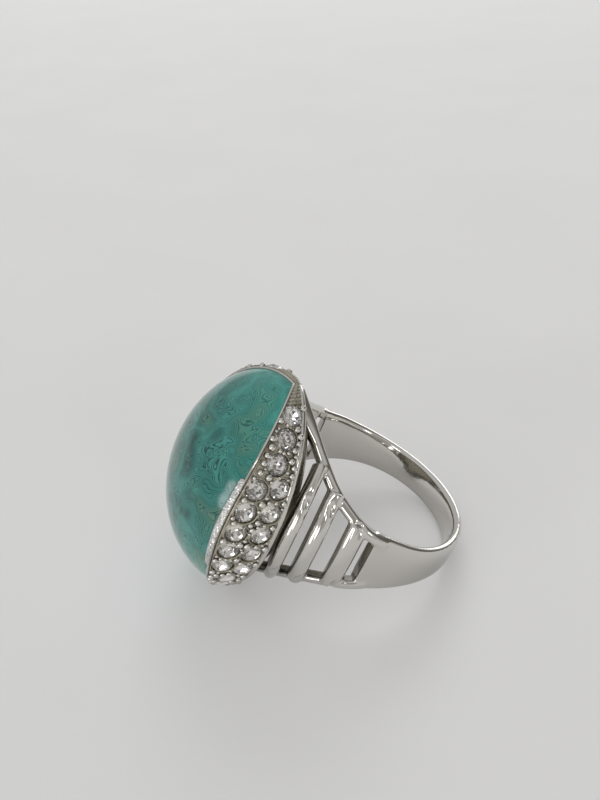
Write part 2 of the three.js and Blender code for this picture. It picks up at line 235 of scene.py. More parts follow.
def modified(mesh, *settings):
    """The mesh after a row of modifiers, each given as its kind and its values."""
    holder = bpy.data.objects.new("work", mesh)
    bpy.context.scene.collection.objects.link(holder)
    for kind, values in settings:
        modifier = holder.modifiers.new(kind, kind)
        for key, value in values.items():
            setattr(modifier, key, value)
    graph = bpy.context.evaluated_depsgraph_get()
    graph.update()
    result = bpy.data.meshes.new_from_object(holder.evaluated_get(graph), depsgraph=graph)
    bpy.data.objects.remove(holder)
    return result


def cut_off(mesh, point, normal):
    """A closed copy of the mesh without what lies beyond the plane."""
    work = bmesh.new()
    work.from_mesh(mesh)
    geometry = work.verts[:] + work.edges[:] + work.faces[:]
    made = bmesh.ops.bisect_plane(
        work, geom=geometry, plane_co=point, plane_no=normal, clear_outer=True, dist=1e-5,
    )
    edges = [e for e in made["geom_cut"] if isinstance(e, bmesh.types.BMEdge)]
    caps = bmesh.ops.edgenet_fill(work, edges=edges)["faces"]
    for edge in edges:
        edge.smooth = False
    bmesh.ops.recalc_face_normals(work, faces=work.faces)
    for face in caps:
        face.smooth = False
    result = bpy.data.meshes.new(mesh.name)
    work.to_mesh(result)
    work.free()
    return result


def oval_section(count, top_power, bottom_power):
    """Points of a rounded bar's section: sideways from -1 to 1, and depth from 0 down to -1."""
    turns = full_turn(count)
    power = np.where(np.sin(turns) >= 0, top_power, bottom_power)
    sideways = np.sign(np.cos(turns)) * np.abs(np.cos(turns)) ** (2 / power)
    height = np.sign(np.sin(turns)) * np.abs(np.sin(turns)) ** (2 / power)
    return sideways, (height - 1) / 2


def sweep(path, outward, width, thickness, top_power=3.0, bottom_power=4.0, closed=False):
    """A bar with a rounded section, whose face follows the path and looks outward."""
    path = np.asarray(path, float)
    if closed:
        run = unit(np.roll(path, -1, axis=0) - np.roll(path, 1, axis=0))
    else:
        run = unit(np.gradient(path, axis=0))
    side = unit(np.cross(run, outward))
    out = np.cross(side, run)
    sideways, depth = oval_section(BAR_POINTS, top_power, bottom_power)
    width = np.broadcast_to(width, len(path))
    thickness = np.broadcast_to(thickness, len(path))
    outlines = (
        path[:, None]
        + side[:, None] * (sideways[None, :] * width[:, None] / 2)[..., None]
        + out[:, None] * (depth[None, :] * thickness[:, None])[..., None]
    )
    return loft(outlines, closed)


def smooth_curve(points, count):
    """Evenly spaced points on a smooth curve through the given points."""
    points = np.asarray(points, float)
    dense = []
    padded = np.vstack([2 * points[0] - points[1], points, 2 * points[-1] - points[-2]])
    for i in range(1, len(padded) - 2):
        p0, p1, p2, p3 = padded[i - 1:i + 3]
        for t in np.linspace(0, 1, CURVE_STEPS, endpoint=False):
            dense.append(0.5 * (
                2 * p1 + (p2 - p0) * t
                + (2 * p0 - 5 * p1 + 4 * p2 - p3) * t ** 2
                + (3 * p1 - p0 - 3 * p2 + p3) * t ** 3
            ))
    dense = np.array(dense + [points[-1]])
    gone = np.concatenate([[0], np.cumsum(np.linalg.norm(np.diff(dense, axis=0), axis=1))])
    wanted = np.linspace(0, gone[-1], count)
    return np.stack([np.interp(wanted, gone, dense[:, i]) for i in range(3)], axis=1)


# ---- the casting: band and shoulders ---------------------------------------------------------

def band_outline(inner, outer, half_width):
    """The band's rounded section between an inner and an outer point."""
    sideways, depth = oval_section(
        BAND_SECTION["points"], BAND_SECTION["outer_power"], BAND_SECTION["inner_power"],
    )
    inner, outer = np.asarray(inner, float), np.asarray(outer, float)
    return (
        outer + ALONG * (sideways * half_width)[:, None] + (outer - inner) * depth[:, None]
    )


def band_half_width(angle):
    back, side = BAND_HALF_WIDTH["back"], BAND_HALF_WIDTH["side"]
    return back + (side - back) * min(angle / (math.pi / 2), 1) ** BAND_TAPER


def band():
    """The band from one shoulder's foot, round the back, to the other's."""
    outer_radius = FINGER_RADIUS + BAND_THICKNESS
    half = []
    for angle in np.linspace(0, math.pi / 2, BAND_STEPS["back_to_side"]):
        ray = np.array([math.sin(angle), 0, -math.cos(angle)])
        half.append((FINGER_RADIUS * ray, outer_radius * ray, band_half_width(angle)))
    for up in np.linspace(0, ROOT_TOP, BAND_STEPS["side_to_root"])[1:]:
        width = np.interp(up, [0, BAND_TOP, ROOT_TOP], [
            BAND_HALF_WIDTH["side"], BAND_HALF_WIDTH["top"], BAND_HALF_WIDTH["root"],
        ])
        across = np.interp(up, SHOULDER_FACE[:, 0], SHOULDER_FACE[:, 1])
        inner = math.sqrt(FINGER_RADIUS ** 2 - up ** 2)
        half.append(([inner, 0, up], [across, 0, up], width))
    flip = np.array([-1, 1, 1])
    outlines = [band_outline(i * flip, o * flip, w) for i, o, w in half[:0:-1]]
    outlines += [band_outline(i, o, w) for i, o, w in half]
    return loft(outlines)


RIM_PATH = smooth_curve(RIM_EDGE, RIM_STEPS)


def shoulder_across(along, up):
    """How far across the shoulder's face is, at a place along the finger and up."""
    middle = np.interp(up, SHOULDER_FACE[:, 0], SHOULDER_FACE[:, 1])
    rim_across = np.interp(up, RIM_PATH[:, 2], RIM_PATH[:, 0])
    rim_along = np.interp(up, RIM_PATH[:, 2], RIM_PATH[:, 1])
    share = np.minimum(np.abs(along) / rim_along, 1)
    return middle - (middle - rim_across) * share ** 2


def shoulder_rim():
    across, along = RIM_PATH[:, 0], RIM_PATH[:, 1]
    outward = unit(np.stack([
        across / RAIL["width"] ** 2 + RIM_FACING["across"],
        RIM_FACING["along"] * along / RAIL["length"] ** 2,
        np.zeros(RIM_STEPS),
    ], axis=1))
    run = unit(np.gradient(RIM_PATH, axis=0))
    inward = unit(np.cross(run, outward))
    inward *= -np.sign(inward @ (ALONG - UP))[:, None]
    width = np.interp(RIM_PATH[:, 2], RIM_WIDENS, [RIM_WIDTH, RIM_WIDTH_AT_TOP])
    return sweep(RIM_PATH + inward * width[:, None] / 2, outward, width, SHOULDER_THICKNESS)


def shoulder_bar(bar):
    along = np.linspace(-bar["reach"], bar["reach"], BAR_STEPS)
    up = bar["middle"] - bar["sink"] * along ** 2
    near = 0.1
    slope = (shoulder_across(along + near, up) - shoulder_across(along - near, up)) / (2 * near)
    outward = unit(np.stack([np.ones_like(along), -slope, np.zeros_like(along)], axis=1))
    path = np.stack([shoulder_across(along, up), along, up], axis=1)
    raised = path + outward * (BAR_CROWN - SHOULDER_THICKNESS)
    return sweep(raised, outward, bar["width"], BAR_CROWN, top_power=2.0, bottom_power=3.0)


def press_hollows(mesh):
    """Small oval hollows where each bar runs into the rims."""
    places = np.empty(len(mesh.vertices) * 3)
    mesh.vertices.foreach_get("co", places)
    places = places.reshape(-1, 3)
    for bar in BARS:
        along = bar["hollow"]
        up = bar["middle"] - bar["sink"] * along ** 2
        centre = np.array([shoulder_across(along, up), along, up])
        folded = np.abs(places) * [1, 1, 0] + places * [0, 0, 1]
        away = (folded - centre) / [HOLLOW["across"], HOLLOW["length"], HOLLOW["width"]]
        press = HOLLOW["depth"] * np.exp(-np.sum(away ** 2, axis=1))
        places[:, 0] -= np.sign(places[:, 0]) * press
    mesh.vertices.foreach_set("co", places.ravel())


def casting():
    """Band and shoulders run together as the casting does, then parted at their joints."""
    upper_rim = shoulder_rim()
    lower_rim = (upper_rim[0] * [1, -1, 1], upper_rim[1])
    side = merged([upper_rim, lower_rim] + [shoulder_bar(bar) for bar in BARS])
    other = (side[0] * [-1, 1, 1], side[1])
    whole = mesh_from(merged([band(), side, other]), "casting")
    voxel = VOXEL["full"]
    whole = modified(
        whole,
        ("REMESH", {"mode": "VOXEL", "voxel_size": voxel, "adaptivity": 0.0}),
        ("SMOOTH", SMOOTHING),
    )
    press_hollows(whole)
    whole = cut_off(whole, UP * SHOULDER_TOP, UP)
    shank = cut_off(whole, UP * BAND_TOP, UP)
    placed(shank, "band", [RHODIUM], "shank")
    for side_name, sign in SIDES.items():
        shoulder = cut_off(whole, UP * BAND_TOP, -UP)
        shoulder = cut_off(shoulder, MIDDLE, -ACROSS * sign)
        placed(
            shoulder, f"openwork_shoulder_{side_name}", [RHODIUM],
            f"shoulder_{side_name}",
        )


# ---- the head --------------------------------------------------------------------------------

def stone_shrink(height):
    """How much the stone's outline has shrunk at a height above its base."""
    share = np.clip(height / STONE["height"], 0, 1)
    return (1 - share ** STONE["power"]) ** (1 / STONE["power"])


def oval_outward(angle, width, length):
    return unit(np.stack([
        np.cos(angle) / width, np.sin(angle) / length, np.zeros_like(angle),
    ], axis=-1))


def oval(angle, width, length, up):
    up = np.broadcast_to(up, np.shape(angle))
    return np.stack([width * np.cos(angle), length * np.sin(angle), up], axis=-1)


def circle(radius, up, count, turn=0.0):
    return oval(full_turn(count) + turn, radius, radius, up)


def edge_rise(angle):
    """How high above the stone's base the panels' upper edge is."""
    return PANEL["end"] + PANEL["rise"] * np.abs(np.cos(angle)) ** PANEL["power"]


def panel_gap(angle):
    """How far the panel's upper edge stands off the stone: least at the two ends."""
    return PANEL_GAP["end"] + (PANEL_GAP["middle"] - PANEL_GAP["end"]) * np.abs(np.cos(angle))


def dome_point(angle, height, gap=0.0):
    """A place on the stone's dome, or clear of it by a gap, and the level direction out."""
    shrink = stone_shrink(height)
    width, length = STONE["width"] * shrink, STONE["length"] * shrink
    outward = oval_outward(angle, STONE["width"], STONE["length"])
    clear = outward * np.asarray(gap)[..., None]
    return oval(angle, width, length, STONE["base"] + height) + clear, outward


def panel_point(angle, share):
    """A place on the panel's face: share 0 is its upper edge, share 1 its rail."""
    upper, upper_out = dome_point(angle, edge_rise(angle), panel_gap(angle))
    lower = oval(angle, RAIL["width"], RAIL["length"], RAIL["height"])
    lower_out = oval_outward(angle, RAIL["width"], RAIL["length"])
    share = np.asarray(share, float)[..., None]
    outward = unit(upper_out * (1 - share) + lower_out * share)
    bulge = PANEL["bulge"] * 4 * share * (1 - share)
    return upper * (1 - share) + lower * share + outward * bulge, outward


def panel_normal(angle, share):
    near = 0.01
    run = panel_point(angle + near, share)[0] - panel_point(angle - near, share)[0]
    fall = panel_point(angle, share + near)[0] - panel_point(angle, share - near)[0]
    normal = unit(np.cross(run, fall))
    facing = np.sum(normal * panel_point(angle, share)[1], axis=-1, keepdims=True)
    return normal * np.where(facing < 0, -1, 1)


PANEL_ANGLES = np.linspace(0, math.pi / 2, PANEL_STEPS)
PANEL_MIDLINE = panel_point(PANEL_ANGLES, np.full(PANEL_STEPS, 0.5))[0]
PANEL_DISTANCE = np.concatenate([
    [0], np.cumsum(np.linalg.norm(np.diff(PANEL_MIDLINE, axis=0), axis=1)),
])


def angle_at(distance):
    """The angle round the head at a distance along the panel from its middle."""
    return math.copysign(np.interp(abs(distance), PANEL_DISTANCE, PANEL_ANGLES), distance)


def stone_places():
    """Each rhinestone's angle and share on one panel, from one end to the other."""
    places = []
    for row in range(-ROWS_EACH_WAY, ROWS_EACH_WAY + 1):
        shares = PAIR_PLACES if abs(row) <= PAIRED_ROWS_EACH_WAY else (0.5,)
        places += [(angle_at(row * ROW_PITCH), share) for share in shares]
    return places


def at_place(angle, share):
    """The point and the normal at one place on the panel."""
    angle, share = np.array([angle], float), np.array([share], float)
    return panel_point(angle, share)[0][0], panel_normal(angle, share)[0]


def bead_places(chance):
    """The small beads that fill the floor between the stones, largest first."""
    kept_clear = RHINESTONE["radius"] - BEAD_OVERLAP
    taken = [(at_place(*place)[0], kept_clear) for place in stone_places()]
    beads = []
    for size in BEAD_SIZES:
        for _ in range(BEAD_TRIES):
            angle = angle_at(chance.uniform(-BEADED_REACH, BEADED_REACH))
            share = chance.uniform(*BEAD_SHARES)
            radius = size * chance.uniform(*BEAD_SPREAD)
            centre, normal = at_place(angle, share)
            if all(np.linalg.norm(centre - other) > radius + room for other, room in taken):
                taken.append((centre, radius))
                beads.append((centre, normal, radius))
    return beads


def ball(centre, radius):
    """A small sphere."""
    outlines = []
    for turn in np.linspace(-math.pi / 2, math.pi / 2, BEAD_STEPS["levels"])[1:-1]:
        level = circle(math.cos(turn), math.sin(turn), BEAD_STEPS["sides"])
        outlines.append(centre + radius * level)
    return loft(outlines)


def panel_relief(points):
    """How far the worked surface stands above the panel's smooth face, at each point."""
    relief = np.zeros(points.shape[:-1])
    radius = RHINESTONE["radius"]
    seat = radius + SEAT["clearance"]
    depth = RHINESTONE["sunk"] + RHINESTONE["pavilion"] + SEAT["below"]
    for angle, share in stone_places():
        away = np.linalg.norm(points - at_place(angle, share)[0], axis=-1)
        cup = -depth * np.clip((seat - away) / SEAT["slope"], 0, 1)
        off = (away - radius - COLLAR["off"]) / COLLAR["width"]
        collar = COLLAR["height"] * np.exp(-off ** 2)
        relief = np.where(away < seat, cup, relief + collar)
    return relief


def panel_solid():
    """The crescent panel with a seat for every stone, as one closed surface."""
    columns, rows = PANEL_GRID["full"]
    end = math.pi / 2 - PANEL_TIP
    angles = np.linspace(-end, end, columns)
    shares = np.linspace(0, 1, rows)
    angle, share = np.meshgrid(angles, shares, indexing="ij")
    face, outward = panel_point(angle, share)
    normal = panel_normal(angle, share)
    relief = panel_relief(face)
    distance = np.interp(np.abs(angle), PANEL_ANGLES, PANEL_DISTANCE)
    ridges = RIDGES["height"] * np.sin(2 * math.pi * distance / RIDGES["pitch"])
    relief = np.where(distance > RIDGES["from"], ridges, relief)
    margin = np.clip(np.minimum(share, 1 - share) / PANEL_FADE, 0, 1)
    lip = PANEL_LIP["height"] * np.clip(1 - share / PANEL_LIP["share"], 0, 1)
    front = face + normal * (relief * margin + lip)[..., None]
    back = (face - outward * PANEL["thickness"])[:, [-1, rows // 2, 0]]
    return loft(np.concatenate([front, back], axis=1))


def rail_solid():
    """The polished rail along the panel's lower edge."""
    angles = np.linspace(-math.pi / 2, math.pi / 2, RAIL_STEPS)
    outward = oval_outward(angles, RAIL["width"], RAIL["length"])
    path = oval(angles, RAIL["width"], RAIL["length"], RAIL["height"]) + outward * RAIL["proud"]
    return sweep(path, outward, RAIL["band"], PANEL["thickness"], top_power=RAIL_POWER)


def mirrored(solid, sign):
    return solid[0] * [sign, 1, 1], solid[1]


def pave_panels():
    panel = panel_solid()
    beads = [
        ball(centre + BEAD_RAISED * radius * normal, radius)
        for centre, normal, radius in bead_places(random.Random(SEEDS["beads"]))
    ]
    whole = merged([panel, rail_solid()] + beads)
    for side, sign in SIDES.items():
        mesh = mesh_from(mirrored(whole, sign), "panel")
        for polygon in mesh.polygons[len(panel[1]):]:
            polygon.material_index = 1
        placed(
            mesh, f"beaded_panel_{side}", [ANTIQUED, RHODIUM],
            f"pave_panel_{side}",
        )


def brilliant():
    """A round brilliant's points, its faces, and how many of them are its clear crown's.

    The rest are the foiled pavilion's, which mirrors the light.
    """
    radius, table = RHINESTONE["radius"], RHINESTONE["table"]
    crown, pavilion = RHINESTONE["crown"], RHINESTONE["pavilion"]
    fold = RHINESTONE_FOLD
    half_step = math.pi / fold
    points = np.concatenate([
        circle(table, crown, fold),
        circle(0.5 * (table + radius), crown * FACETS["crown_height"], fold, half_step),
        circle(radius, 0.0, 2 * fold),
        circle(radius, -FACETS["girdle"], 2 * fold),
        circle(
            radius * FACETS["lower_radius"], -pavilion * FACETS["lower_depth"], fold, half_step,
        ),
        [[0, 0, -pavilion]],
    ])
    at_table, at_crown, at_girdle, at_low_girdle, at_lower, at_tip = (
        fold * rings for rings in (0, 1, 2, 4, 6, 7)
    )
    clear, foiled = [list(range(fold))], []
    for i in range(fold):
        after, before = (i + 1) % fold, (i - 1) % fold
        girdle = [at_girdle + 2 * i, at_girdle + 2 * i + 1, at_girdle + 2 * after]
        low = [at_low_girdle + 2 * i, at_low_girdle + 2 * i + 1, at_low_girdle + 2 * after]
        clear.append([at_table + i, at_crown + i, at_table + after])
        clear.append([at_table + i, at_crown + before, girdle[0], at_crown + i])
        clear.append([at_crown + i, girdle[0], girdle[1]])
        clear.append([at_crown + i, girdle[1], girdle[2]])
        foiled.append([low[0], low[1], at_lower + i])
        foiled.append([low[1], low[2], at_lower + i])
        foiled.append([at_lower + before, low[0], at_lower + i, at_tip])
    for i in range(2 * fold):
        after = (i + 1) % (2 * fold)
        foiled.append([at_girdle + i, at_girdle + after, at_low_girdle + after, at_low_girdle + i])
    return points, clear + foiled, len(clear)


def rhinestones():
    """One brilliant in every seat, each leaning and turned a little its own way."""
    chance = random.Random(SEEDS["rhinestones"])
    points, faces, clear = brilliant()
    for side, sign in SIDES.items():
        for i, (angle, share) in enumerate(stone_places(), start=1):
            centre, normal = at_place(angle, share)
            lean = [chance.uniform(-RHINESTONE_LEAN, RHINESTONE_LEAN) for _ in range(3)]
            facing = Vector(normal) + Vector(lean)
            turn = facing.to_track_quat("Z", "Y").to_matrix().to_4x4()
            spin = Matrix.Rotation(chance.uniform(0, math.pi / 4), 4, "Z")
            seat = Vector(centre - normal * RHINESTONE["sunk"])
            place = Matrix.Translation(seat) @ turn @ spin
            moved = np.array([tuple(place @ Vector(point)) for point in points]) * [sign, 1, 1]
            mesh = mesh_from((moved, faces), "rhinestone")
            for polygon in mesh.polygons[clear:]:
                polygon.material_index = 1
            placed(
                mesh, f"brilliant_{side}_{i}", [CRYSTAL, FOIL],
                f"rhinestone_{side}_{i}", flat=True,
            )


def cabochon():
    """The dome, cut back below its edge to drop between the panels."""
    angles = full_turn(STONE_STEPS["round"])
    edge = edge_rise(angles)
    outlines = []
    for turn in np.linspace(math.pi / 2, 0, STONE_STEPS["up"])[1:]:
        height = edge + (STONE["height"] - edge) * math.sin(turn)
        outlines.append(dome_point(angles, height, DOME_FULLNESS)[0])
    set_in = PANEL["thickness"] + STONE_CLEARANCE
    inner = dome_point(angles, edge, panel_gap(angles) - set_in)[0]
    inner[:, 2] = np.maximum(inner[:, 2], STONE["base"] + STONE_FOOT)
    outward = oval_outward(angles, STONE["width"], STONE["length"])
    foot = oval(angles, RAIL["width"], RAIL["length"], STONE["base"]) - outward * set_in
    outlines += [inner, foot]
    mesh = mesh_from(loft(outlines), "cabochon")
    placed(mesh, "marbled_cabochon", [MARBLED], "cabochon", sharp=50)


def head_cup():
    """The shallow cup under the stone, between the shoulders."""
    angles = full_turn(CUP_STEPS)
    outlines = [oval(angles, width, length, up) for length, width, up in CUP]
    placed(
        mesh_from(loft(outlines), "cup"), "head_cup", [ANTIQUED], "head_tray",
        sharp=40,
    )


def bezel():
    """The wire round the stone's edge, and the lip on each side above the paired stones."""
    angles = full_turn(BEZEL_STEPS)
    radius = BEZEL_WIRE
    centre, outward = dome_point(angles, edge_rise(angles), DOME_FULLNESS + radius)
    wire = sweep(centre + UP * radius, outward, 2 * radius, 2 * radius, 2, 2, closed=True)
    placed(mesh_from(wire, "wire"), "bezel_edge", [RHODIUM], "bezel_wire")
    for side, sign in SIDES.items():
        tab = mesh_from(mirrored(tab_solid(), sign), "tab")
        placed(tab, f"bezel_lip_{side}", [ROUGH_RHODIUM], f"bezel_tab_{side}")


def tab_solid():
    """The wider hammered lip above the paired stones."""
    chance = np.random.default_rng(SEEDS["tabs"])
    end = math.asin(TAB["reach"] / STONE["length"])
    angles = np.linspace(-end, end, TAB_STEPS["along"])
    fade = np.clip((end - np.abs(angles)) / TAB["fade"], 0, 1) ** 0.5
    low = edge_rise(angles) + TAB["lift"] * BEZEL_WIRE
    tall = TAB["height"] * (TAB["end_height"] + (1 - TAB["end_height"]) * fade)
    outlines = []
    for share in np.linspace(0, 1, TAB_STEPS["up"]):
        grains = np.convolve(chance.uniform(-1, 1, len(angles)), GRAIN_BLUR, mode="same")
        smooth = TAB_THICKNESS["foot"] * (1 - TAB_THICKNESS["thinning"] * share ** 2)
        thick = fade * (smooth + TAB_THICKNESS["grain"] * grains)
        out = DOME_FULLNESS + np.maximum(thick, TAB_THICKNESS["least"])
        outlines.append(dome_point(angles, low + tall * share, out)[0])
    for share in (1, 0):
        outlines.append(dome_point(angles, low + tall * share, TAB_THICKNESS["back"])[0])
    return loft(np.stack(outlines, axis=1))


# ---- materials -------------------------------------------------------------------------------

MARKS_SHARE = 0.01  # the handling marks' height against the casting waves'
STAIN_SHARE = 0.25  # how much the stain adds to the shade in the antiqued plate's hollows
# How far the swirls bend in millimetres, how many radians of veins the field's range holds, and
# the heights above the stone's base where its painted glow starts and where it is brightest.
MARBLE = {"bend": 8.0, "levels": 330.0, "unlit_from": 7.2, "lit_to": 1.0}


def material(name, **sockets):
    """A principled material, with its shader's own sockets set."""
    made = bpy.data.materials.new(name)
    made.use_nodes = True
    shader = made.node_tree.nodes["Principled BSDF"]
    for key, value in sockets.items():
        shader.inputs[key.replace("_", " ")].default_value = value
    return made, made.node_tree, shader


def node(tree, kind, values=None, links=None):
    """A node with input values, and links given as input name to the socket that feeds it."""
    made = tree.nodes.new(kind)
    for key, value in (values or {}).items():
        if isinstance(key, int) or key in made.inputs.keys():
            made.inputs[key].default_value = value
        else:
            setattr(made, key, value)
    for key, source in (links or {}).items():
        tree.links.new(source, made.inputs[key])
    return made


def millimetres(tree):
    """Object coordinates in millimetres."""
    place = node(tree, "ShaderNodeTexCoord")
    return node(
        tree, "ShaderNodeVectorMath", {"operation": "SCALE", "Scale": 1 / MM},
        {0: place.outputs["Object"]},
    ).outputs[0]


def noise(tree, vector, scale, detail=4.0, roughness=0.5):
    return node(
        tree, "ShaderNodeTexNoise",
        {"Scale": scale, "Detail": detail, "Roughness": roughness}, {"Vector": vector},
    )


def ramp(tree, factor, stops):
    """A colour ramp through (position, colour) stops."""
    made = node(tree, "ShaderNodeValToRGB", links={"Fac": factor})
    elements = made.color_ramp.elements
    while len(elements) < len(stops):
        elements.new(0.5)
    for element, (position, colour) in zip(elements, stops):
        element.position = position
        element.color = (*colour, 1)
    return made.outputs["Color"]


def grey(value):
    return (value, value, value)


def dimmed(colour, share):
    return tuple(share * channel for channel in colour)


def mix(tree, factor, first, second, blend="MIX"):
    """A socket's colour mixed with a plain second colour."""
    made = node(tree, "ShaderNodeMix", {"data_type": "RGBA", "blend_type": blend})
    tree.links.new(factor, made.inputs[0])
    tree.links.new(first, made.inputs[6])
    made.inputs[7].default_value = (*second, 1)
    return made.outputs[2]


def bump(tree, height, strength, distance):
    return node(
        tree, "ShaderNodeBump", {"Strength": strength, "Distance": distance * MM},
        {"Height": height},
    ).outputs["Normal"]


def polished(name, colour, roughness, strength):
    """Plated metal: painted shade darkens it in its crevices; casting waves, handling marks,
    uneven polish.
    """
    made, tree, shader = material(name, Metallic=1.0)
    place = millimetres(tree)
    # Painted shade: ambient occlusion darkens the base colour in crevices, slot walls and inside
    # the band.
    painted_crevice_shade = node(tree, "ShaderNodeAmbientOcclusion", {"Distance": 9 * MM, "samples": 6})
    tone = ramp(tree, painted_crevice_shade.outputs["AO"], [(0.2, dimmed(colour, 0.3)), (0.85, colour)])
    tree.links.new(tone, shader.inputs["Base Color"])
    waves = noise(tree, place, scale=0.45, detail=2.0)
    marks = noise(tree, place, scale=9.0, detail=5.0, roughness=0.65)
    smoothest, roughest = roughness
    rough = ramp(
        tree, marks.outputs["Fac"], [(0.35, grey(smoothest)), (0.75, grey(roughest))],
    )
    tree.links.new(rough, shader.inputs["Roughness"])
    both = node(
        tree, "ShaderNodeMath", {"operation": "MULTIPLY_ADD", 1: MARKS_SHARE},
        {0: marks.outputs["Fac"], 2: waves.outputs["Fac"]},
    ).outputs[0]
    tree.links.new(bump(tree, both, strength, distance=0.25), shader.inputs["Normal"])
    return made


def antiqued():
    """Plate that is dark in its hollows and bright where it is rubbed."""
    made, tree, shader = material("antiqued_rhodium", Metallic=1.0)
    place = millimetres(tree)
    hollow = node(tree, "ShaderNodeAmbientOcclusion", {"Distance": 0.5 * MM, "samples": 8})
    stain = noise(tree, place, scale=3.0)
    worn = node(
        tree, "ShaderNodeMath", {"operation": "MULTIPLY_ADD", 1: STAIN_SHARE},
        {0: stain.outputs["Fac"], 2: hollow.outputs["AO"]},
    ).outputs[0]
    colour = ramp(tree, worn, [
        (0.3, (0.03, 0.025, 0.013)), (0.65, (0.17, 0.148, 0.095)), (1.0, (0.5, 0.47, 0.39)),
    ])
    tree.links.new(colour, shader.inputs["Base Color"])
    rough = ramp(tree, worn, [(0.4, grey(0.5)), (1.0, grey(0.22))])
    tree.links.new(rough, shader.inputs["Roughness"])
    grain = noise(tree, place, scale=6.0, detail=5.0, roughness=0.6)
    rough_skin = bump(tree, grain.outputs["Fac"], strength=0.5, distance=0.12)
    tree.links.new(rough_skin, shader.inputs["Normal"])
    return made


def swirled(tree, place):
    """Coordinates bent far by a slow noise, so that a pattern drawn in them swirls."""
    warp = noise(tree, place, scale=0.2, detail=2.0)
    far = node(
        tree, "ShaderNodeVectorMath", {"operation": "SCALE", "Scale": MARBLE["bend"]},
        {0: warp.outputs["Color"]},
    ).outputs[0]
    return node(
        tree, "ShaderNodeVectorMath", {"operation": "ADD"}, {0: place, 1: far},
    ).outputs[0]


def veins(tree, bent, field):
    """How strong the dark veins are: thin lines along the field's levels, in patches."""
    levels = node(
        tree, "ShaderNodeMath", {"operation": "MULTIPLY", 1: MARBLE["levels"]}, {0: field},
    ).outputs[0]
    lines = node(tree, "ShaderNodeMath", {"operation": "SINE"}, {0: levels}).outputs[0]
    thin = ramp(tree, lines, [(0.2, grey(0.0)), (0.9, grey(1.0))])
    patches = noise(tree, bent, scale=0.35, detail=3.0).outputs["Fac"]
    where = ramp(tree, patches, [(0.32, grey(0.1)), (0.47, grey(1.0))])
    return node(
        tree, "ShaderNodeMath", {"operation": "MULTIPLY"}, {0: thin, 1: where},
    ).outputs[0]


def painted_glow_near_base(tree, place):
    """How strong the painted glow is: from 0 high on the dome to 1 near its base."""
    up = TO_ROW.to_3x3().col[2].normalized()
    base = STONE["base"] + up.dot(TO_ROW.translation) / MM
    height = node(
        tree, "ShaderNodeVectorMath", {"operation": "DOT_PRODUCT", 1: up}, {0: place},
    ).outputs["Value"]
    return node(
        tree, "ShaderNodeMapRange",
        {"interpolation_type": "SMOOTHSTEP", "From Min": base + MARBLE["unlit_from"],
         "From Max": base + MARBLE["lit_to"]},
        {"Value": height},
    ).outputs["Result"]


def marbled():
    """Glossy resin with eddies of darker and lighter teal, and a painted glow near its base."""
    made, tree, shader = material(
        "marbled_resin", Roughness=0.1, IOR=1.46, Coat_Weight=0.2, Coat_Roughness=0.03,
        Subsurface_Weight=0.18, Subsurface_Radius=(0.35, 1.0, 0.9), Subsurface_Scale=1.2 * MM,
    )
    place = millimetres(tree)
    bent = swirled(tree, place)
    field = noise(tree, bent, scale=0.26, detail=2.5, roughness=0.45).outputs["Fac"]
    pool = ramp(tree, field, [
        (0.30, (0.018, 0.105, 0.092)),
        (0.40, (0.030, 0.190, 0.165)),
        (0.48, (0.055, 0.270, 0.230)),
        (0.56, (0.032, 0.185, 0.158)),
        (0.64, (0.070, 0.215, 0.160)),
        (0.75, (0.100, 0.190, 0.130)),
    ])
    veined = mix(tree, veins(tree, bent, field), pool, (0.008, 0.05, 0.052))
    # Painted light: a pale teal glow screened over the colour near the base, where light shines
    # through the resin.
    with_painted_glow = mix(tree, painted_glow_near_base(tree, place), veined, (0.015, 0.15, 0.125), blend="SCREEN")
    tree.links.new(with_painted_glow, shader.inputs["Base Color"])
    return made


def crystal():
    """Clear glass, for the rhinestones' crowns."""
    return material(
        "crystal", Roughness=0.0, IOR=1.56, Base_Color=(0.98, 0.985, 0.99, 1),
        Transmission_Weight=1.0,
    )[0]


def foil():
    """The bright backing of the rhinestones, a little warmer in places."""
    made, tree, shader = material("foil", Metallic=0.78, Roughness=0.03)
    tint = noise(tree, millimetres(tree), scale=0.9, detail=2.0)
    colour = ramp(tree, tint.outputs["Fac"], [
        (0.4, (1.0, 0.99, 0.97)), (0.6, (1.0, 0.965, 0.92)),
    ])
    tree.links.new(colour, shader.inputs["Base Color"])
    return made


def cement():
    """The grainy bed under the stone."""
    made, tree, shader = material("cement", Roughness=0.75)
    grain = noise(tree, millimetres(tree), scale=5.0, detail=5.0)
    colour = ramp(tree, grain.outputs["Fac"], [
        (0.3, (0.52, 0.48, 0.38)), (0.7, (0.68, 0.64, 0.54)),
    ])
    tree.links.new(colour, shader.inputs["Base Color"])
    gritty = bump(tree, grain.outputs["Fac"], strength=0.6, distance=0.2)
    tree.links.new(gritty, shader.inputs["Normal"])
    return made


RHODIUM = polished("rhodium", (0.7, 0.68, 0.64), roughness=(0.05, 0.15), strength=0.12)
ROUGH_RHODIUM = polished(
    "hammered_rhodium", (0.74, 0.73, 0.71), roughness=(0.15, 0.35), strength=0.9,
)
ANTIQUED = antiqued()
MARBLED = marbled()
CRYSTAL = crystal()
FOIL = foil()
CEMENT = cement()


# ---- the studio ------------------------------------------------------------------------------

CAMERA_PLACE = (61.9, 44.7, 38.6)  # across, along and up, in the ring's own millimetres
CAMERA_ELEVATION = math.radians(35.2)
CAMERA_AZIMUTH = math.radians(-10.6)
CAMERA_ROLL = math.radians(-2.6)
FOCAL_LENGTH = 54.0
SENSOR_WIDTH = 36.0

